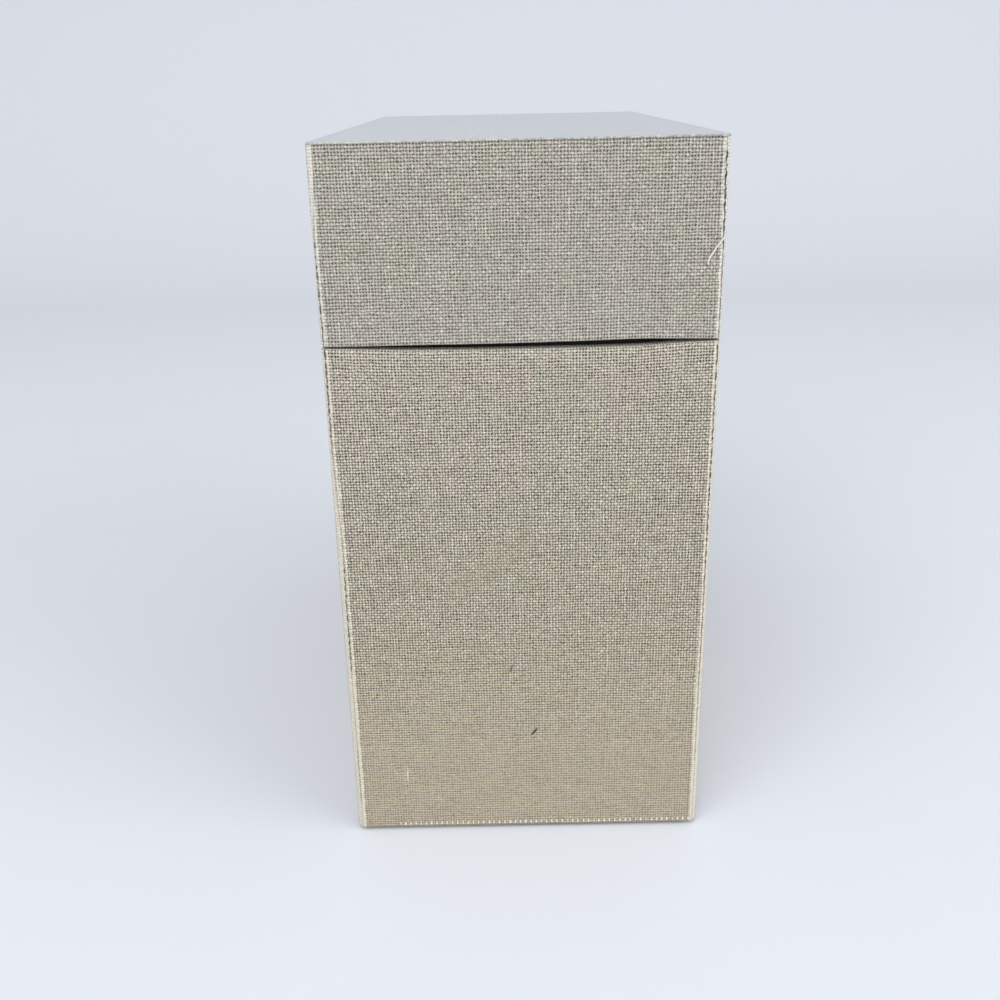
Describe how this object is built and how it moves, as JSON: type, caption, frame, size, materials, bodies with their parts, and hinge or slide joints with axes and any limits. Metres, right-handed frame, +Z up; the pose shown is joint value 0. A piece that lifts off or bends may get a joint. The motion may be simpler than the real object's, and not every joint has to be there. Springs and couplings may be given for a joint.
{
  "type": "perfume box",
  "caption": "Upright rigid box covered in linen-like cloth, with a flush lift-off lid over an inner neck and a padded well for a perfume bottle.",
  "frame": {"origin": "middle of the underside, on the surface the box stands on", "axes": "+Z up, X across the narrow width, -Y towards the pictured narrow end"},
  "size_m": [0.075, 0.149, 0.1455],
  "materials": {
    "book_cloth": "matte",
    "greyboard": "matte",
    "lining_paper": "matte",
    "neck_paper": "matte",
    "bottom_paper": "matte",
    "velvet": "matte",
    "satin": "satin"
  },
  "bodies": {
    "base": {"base_floor_board": "greyboard", "base_front_board": "greyboard", "base_back_board": "greyboard", "base_left_board": "greyboard", "base_right_board": "greyboard", "base_front_cloth": "book_cloth", "base_back_cloth": "book_cloth", "base_left_cloth": "book_cloth", "base_right_cloth": "book_cloth", "base_bottom_sheet": "bottom_paper", "neck_front_board": "greyboard", "neck_back_board": "greyboard", "neck_left_board": "greyboard", "neck_right_board": "greyboard", "neck_paper": "neck_paper", "platform_board": "greyboard", "platform_front_packer": "greyboard", "platform_back_packer": "greyboard", "well_front_board": "greyboard", "well_back_board": "greyboard", "well_left_board": "greyboard", "well_right_board": "greyboard", "insert_velvet": "velvet", "well_pad": "velvet"},
    "lid": {"lid_top_board": "greyboard", "lid_front_board": "greyboard", "lid_back_board": "greyboard", "lid_left_board": "greyboard", "lid_right_board": "greyboard", "lid_front_cloth": "book_cloth", "lid_back_cloth": "book_cloth", "lid_left_cloth": "book_cloth", "lid_right_cloth": "book_cloth", "lid_top_cloth": "book_cloth", "lid_lining": "lining_paper", "lid_pad_card": "greyboard", "lid_pad": "satin"}
  },
  "joints": [
    {"name": "lid_lift", "type": "slide", "parent": "base", "child": "lid", "axis": [0, 0, 1], "range_m": [0, 0.06]}
  ]
}
